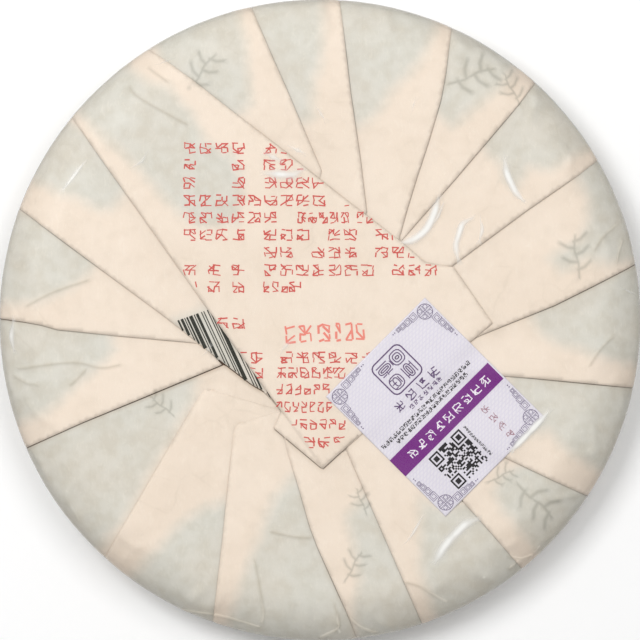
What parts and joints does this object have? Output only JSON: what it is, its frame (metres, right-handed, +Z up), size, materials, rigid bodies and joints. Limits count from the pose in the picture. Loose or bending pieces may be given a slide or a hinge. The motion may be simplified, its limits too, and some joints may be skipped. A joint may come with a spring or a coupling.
{
  "type": "pu erh tea cake",
  "caption": "Round pressed tea cake shut in a pleated paper wrapper and clear film, lying with its folded back up, with a square-cornered paper label across the folds.",
  "frame": {"origin": "centre of the circle that the cake stands on, at the floor under the middle of its front face", "axes": "+Z up out of the pleated back, +Y towards the top of the picture, +X to its right"},
  "size_m": [0.2, 0.2, 0.0242],
  "materials": {
    "wrapper_paper": "thin warm-white cotton paper under clear shrink film",
    "label_paper": "smooth pale lavender printed paper"
  },
  "bodies": {
    "root": {"wrapped_cake": "wrapper_paper", "label": "label_paper"}
  },
  "joints": []
}
